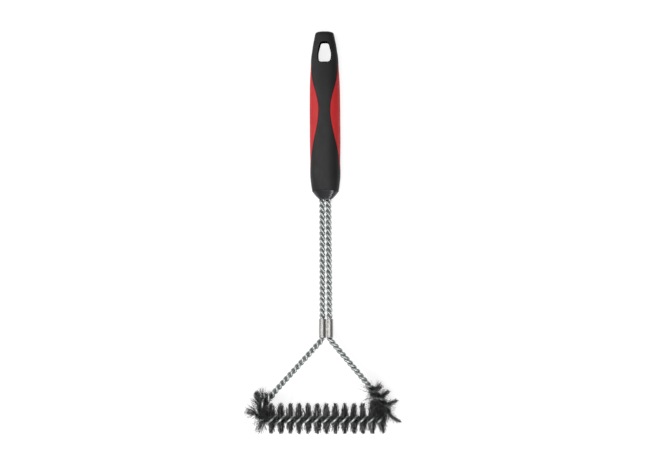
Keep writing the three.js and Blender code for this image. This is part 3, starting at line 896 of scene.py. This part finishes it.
# The bundles round the corners are bent and worn, each in its own way: how far the bristles reach,
# the share of them that is left, how far they lean along the route, in radians, how much they are
# gathered into one tuft, how untidy and ragged they are, how far those that stand up splay, and how
# far they are pressed down into the plane of the brush.
OUTER_LOOKS = {
    -10: {
        "reach": 8.0, "left": 0.5, "gather": 0.0,
        "untidy": 2.4, "ragged": 0.2, "splay": 0.35, "press": 0.3,
    },
    -9: {
        "reach": 16.2, "lean": -0.28, "gather": 0.2,
        "untidy": 1.3, "ragged": 0.06, "splay": 0.3, "press": 0.7,
    },
    -8: {"reach": 15.0, "left": 0.7, "gather": 0.4, "untidy": 2.2, "ragged": 0.12, "splay": 0.7},
    -7: {"reach": 16.8, "left": 0.65, "gather": 0.0, "untidy": 2.2, "ragged": 0.14, "splay": 0.7},
    -6: {"gather": 0.3, "untidy": 1.4, "ragged": 0.05},
    6: {"gather": 0.85, "untidy": 1.2, "ragged": 0.05},
    7: {
        "reach": 17.2, "left": 0.6, "lean": -0.2, "gather": 0.9,
        "untidy": 0.8, "ragged": 0.05, "splay": 0.45,
    },
    8: {
        "reach": 14.2, "left": 0.8, "lean": -0.22, "gather": 0.6,
        "untidy": 0.9, "ragged": 0.06, "splay": 0.7,
    },
    9: {"reach": 13.6, "left": 0.95, "gather": 0.2, "untidy": 1.6, "ragged": 0.08, "splay": 0.7},
    10: {"reach": 12.5, "gather": 0.0, "untidy": 3.6, "ragged": 0.2, "splay": 0.8},
}
INNER_LOOKS = {
    -10: {"reach": 4.5, "left": 0.2, "untidy": 2.4, "ragged": 0.2, "splay": 0.3},
    -9: {"reach": 8.5, "left": 0.45, "untidy": 2.6, "ragged": 0.2, "splay": 0.5},
    -8: {"reach": 12.5, "untidy": 2.8, "ragged": 0.15, "splay": 0.5},
    -7: {"reach": 14.5, "untidy": 2.6, "ragged": 0.12, "splay": 0.5},
    7: {"reach": 15.0, "untidy": 2.6, "ragged": 0.1, "splay": 0.5},
    8: {"reach": 15.0, "untidy": 3.0, "ragged": 0.12, "splay": 0.7},
    9: {"reach": 12.5, "untidy": 3.0, "ragged": 0.12, "splay": 0.6},
    10: {"reach": 6.0, "left": 0.6, "untidy": 2.6, "ragged": 0.2, "splay": 0.5},
}
PLAIN_LOOK = {
    "reach": REACH,
    "left": 1.0,
    "lean": 0.0,
    "gather": 0.0,
    "untidy": 1.0,
    "ragged": 0.03,
    "splay": 0.0,
    "press": 0.0,
}
FIRST_CORNER_BUNDLE = 7  # counted from the middle; those before it are on the straight bar
SPREAD_LIMIT = 1.3  # the furthest draw that a splayed bristle follows


def rise_clear(root, bent):
    """Shortens the bristles that would go through the surface that the brush lies on."""
    foot = to_metres(root)[:, 2] * MM_PER_M - FLOOR_CLEARANCE
    drop = (to_metres(root)[:, 2] - to_metres(root + bent)[:, 2]) * MM_PER_M
    return np.where(drop > foot, foot / np.maximum(drop, 1e-6), 1.0)


def bristle_side(k, side, tangent, across, root, angle, clumps, loose):
    """Points of the bristles on one side of the stem, from the stem out, for one bundle."""
    look = PLAIN_LOOK | (INNER_LOOKS if side > 0 else OUTER_LOOKS).get(k, {})
    middle_across = station([bar_middle + k * HALF_TURN])[2]
    in_plane = across + look["gather"] * (middle_across - across)
    in_plane = in_plane + side * math.tan(look["lean"]) * tangent
    in_plane /= np.linalg.norm(in_plane, axis=1)[:, None]
    # The twist turns the bundle over every half turn, so the end that points inwards alternates.
    cosine, sine = np.cos(angle)[:, None], np.sin(angle)[:, None]
    flat = np.abs(cosine) ** (1 - look["press"])
    stood = np.sign(cosine) * UP * sine * (1 - look["press"])
    way = side * (in_plane * flat + stood)
    way /= np.linalg.norm(way, axis=1)[:, None]
    beside = np.cross(tangent, way)
    inner = int(side > 0)  # both sides have columns of their own in the draws
    untidy = look["untidy"]
    reach = look["reach"] * (1 + CLUMP_REACH * clumps[:, 1 + inner] + LOOSE_REACH * loose[:, 1 + inner])
    reach = reach * np.maximum(1 - look["ragged"] * np.abs(loose[:, 7]), LEAST_RAGGED)
    if abs(k) < FIRST_CORNER_BUNDLE:
        reach = reach + REACH_SHIFT * way[:, 1]
    tip_lean = untidy * (CLUMP_LEAN * clumps[:, 3] + LOOSE_LEAN * loose[:, 3 + inner])
    tip_swing = untidy * (CLUMP_SWING * clumps[:, 4] + LOOSE_SWING * loose[:, 5 + inner])

    spread = np.clip(loose[:, 8:10], -SPREAD_LIMIT, SPREAD_LIMIT)
    aside = tangent * spread[:, :1] + across * np.abs(spread[:, 1:])
    splayed = look["splay"] * sine**2 * aside

    def bent(u):
        straight = way * (u * reach)[:, None]
        leant = tangent * (tip_lean * reach * u**LEAN_POWER)[:, None]
        swung = beside * (tip_swing * reach * u**SWING_POWER)[:, None]
        return straight + (leant + swung) + splayed * (reach * u**SPLAY_POWER)[:, None]

    keep = rise_clear(root, bent(1.0))[:, None]
    present = loose[:, 0] <= np.quantile(loose[:, 0], look["left"])
    stub = np.where(present, 1.0, STUB)[:, None]
    steps = np.linspace(0, 1, BRISTLE_SEGMENTS + 1)[1:]
    return [root + bent(u) * keep * stub for u in steps]


def bristle_points(k, count):
    """Middle lines of the bristles of one bundle: count x (2 * segments + 1) points."""
    spread = np.linspace(-0.5, 0.5, count) + rng.normal(0, BUNDLE_JITTER, count)
    along = bar_middle + (k + spread) * HALF_TURN
    point, tangent, across = station(along)
    clumps = np.repeat(rng.normal(0, 1, (count // CLUMP + 1, CLUMP_DRAWS)), CLUMP, axis=0)[:count]
    loose = rng.normal(0, 1, (count, LOOSE_DRAWS))
    angle = twist(along) + ANGLE_UNEVEN * clumps[:, 0] + ANGLE_UNEVEN * loose[:, 0]
    direction = across * np.cos(angle)[:, None] + UP * np.sin(angle)[:, None]
    root = point + np.cross(tangent, direction) * rng.uniform(-ROOT_HALF, ROOT_HALF, count)[:, None]
    outer, inner = (
        bristle_side(k, side, tangent, across, root, angle, clumps, loose) for side in (-1, 1)
    )
    return np.stack(outer[::-1] + [root] + inner, axis=1)


def tubes(lines, radius):
    """Four-sided closed tubes along many lines at once."""
    count, length, _ = lines.shape
    tangent = np.gradient(lines, axis=1)
    tangent /= np.linalg.norm(tangent, axis=2)[..., None]
    helper = np.where(np.abs(tangent[..., 2:3]) > 0.9, np.array([1.0, 0, 0]), UP)
    first = np.cross(tangent, helper)
    first /= np.linalg.norm(first, axis=2)[..., None]
    second = np.cross(tangent, first)
    corner = 2 * math.pi / TUBE_SIDES
    spin = rng.uniform(0, corner, count)[:, None, None]
    rings = [
        lines + radius * (first * np.cos(i * corner + spin) + second * np.sin(i * corner + spin))
        for i in range(TUBE_SIDES)
    ]
    last = (length - 1) * TUBE_SIDES
    caps = [list(range(TUBE_SIDES))[::-1], list(range(last, last + TUBE_SIDES))]
    one = np.concatenate([grid_faces(length, TUBE_SIDES, True), caps])
    faces = one[None] + (np.arange(count) * length * TUBE_SIDES)[:, None, None]
    return np.stack(rings, axis=2).reshape(-1, 3), faces.reshape(-1, 4)


def make_bundle(k):
    name = f"bristles_{k + BUNDLES + 1:02d}"
    lines = bristle_points(k, WIRES_AT_CORNER if abs(k) >= FIRST_CORNER_BUNDLE else WIRES_PER_BUNDLE)
    points, faces = tubes(lines, BRISTLE_RADIUS)
    tone = np.repeat(rng.beta(*TONE_SHAPE, len(lines)), lines.shape[1] * TUBE_SIDES)
    return add_mesh(name, points, faces, bristle_wire, sharp_deg=89, attributes={"tone": tone})


# ---- Build ----

black = make_black_grip()
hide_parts("soft_grip")
reds = [make_inlay(-1, "left"), make_inlay(1, "right")]
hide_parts("grip_inlay_left")
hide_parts("grip_inlay_right")
nose = make_nose()
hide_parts("nose_cap")
strands = [make_strand("strand_a", 1), make_strand("strand_b", -1)]
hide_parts("stem_wire_a")
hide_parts("stem_wire_b")
sleeve = make_sleeve()
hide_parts("crimp_sleeve")
bundles = [make_bundle(k) for k in range(-BUNDLES, BUNDLES + 1)]
cad_bundles = sorted(n for n in frame["nodes"] if n.startswith("bristle_bundle"))
for i, obj in enumerate(bundles):
    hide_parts(cad_bundles[i])
core_materials = frame["nodes"]["handle_core"].data.materials
core_materials.clear()
core_materials.append(core_black)

for obj, slot in (
    [(black, "soft_black"), (nose, "nose_plastic"), (sleeve, "sleeve_steel")]
    + [(o, "soft_red") for o in reds]
    + [(o, "stem_steel") for o in strands]
    + [(o, "bristle_steel") for o in bundles]
):
    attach(obj, "root")

# ---- Stage, light and camera ----

FLOOR_HALF = 4.0
FLOOR_GREY = 0.38
FLOOR_GLOW = 0.76  # the floor's own light, which makes it the white of the background
CAMERA_HEIGHT = 1.5
CAMERA_OVER = Vector((-3.8, 198.2, 0))


def make_floor():
    mesh = bpy.data.meshes.new("floor")
    corners = [(-1, -1), (1, -1), (1, 1), (-1, 1)]
    mesh.from_pydata([(x * FLOOR_HALF, y * FLOOR_HALF, 0) for x, y in corners], [], [(0, 1, 2, 3)])
    material, _, _, shader = new_material("floor_white")
    shader.inputs["Base Color"].default_value = (FLOOR_GREY, FLOOR_GREY, FLOOR_GREY, 1)
    shader.inputs["Roughness"].default_value = 0.9
    shader.inputs["Specular IOR Level"].default_value = 0.0
    shader.inputs["Emission Color"].default_value = (1, 1, 1, 1)
    shader.inputs["Emission Strength"].default_value = FLOOR_GLOW
    mesh.materials.append(material)
    floor = bpy.data.objects.new("floor", mesh)
    scene.collection.objects.link(floor)


def area_light(name, place, size, power):
    """White area light that points at the middle of the brush."""
    data = bpy.data.lights.new(name, "AREA")
    data.shape = "RECTANGLE"
    data.size, data.size_y = size
    data.energy = power
    light = bpy.data.objects.new(name, data)
    light.location = place
    light.rotation_euler = (Vector() - Vector(place)).to_track_quat("-Z", "Y").to_euler()
    scene.collection.objects.link(light)


scene = bpy.context.scene
make_floor()
area_light("key_left", place=(-1.3, 0.3, 1.2), size=(0.7, 1.5), power=14)
area_light("front_high", place=(0.05, -1.15, 1.35), size=(1.0, 0.5), power=14)
area_light("top_soft", place=(-0.25, 0.1, 2.2), size=(1.2, 1.2), power=15)
area_light("nose_glint", place=(0.62, -1.5, 0.66), size=(0.3, 0.5), power=5)

world = bpy.data.worlds.new("studio")
scene.world = world
world.use_nodes = True
background = world.node_tree.nodes["Background"]
background.inputs["Color"].default_value = (1, 1, 1, 1)
background.inputs["Strength"].default_value = 0.1

camera_data = bpy.data.cameras.new("camera")
camera_data.sensor_width = 36
camera_data.lens = 78.4
camera_data.clip_end = 20
camera = bpy.data.objects.new("camera", camera_data)
camera.location = to_frame @ CAMERA_OVER + Vector((0, 0, CAMERA_HEIGHT))
camera.rotation_euler = (0, 0, 0)
scene.collection.objects.link(camera)
scene.camera = camera
scene.view_settings.view_transform = "Standard"
scene.view_settings.look = "None"
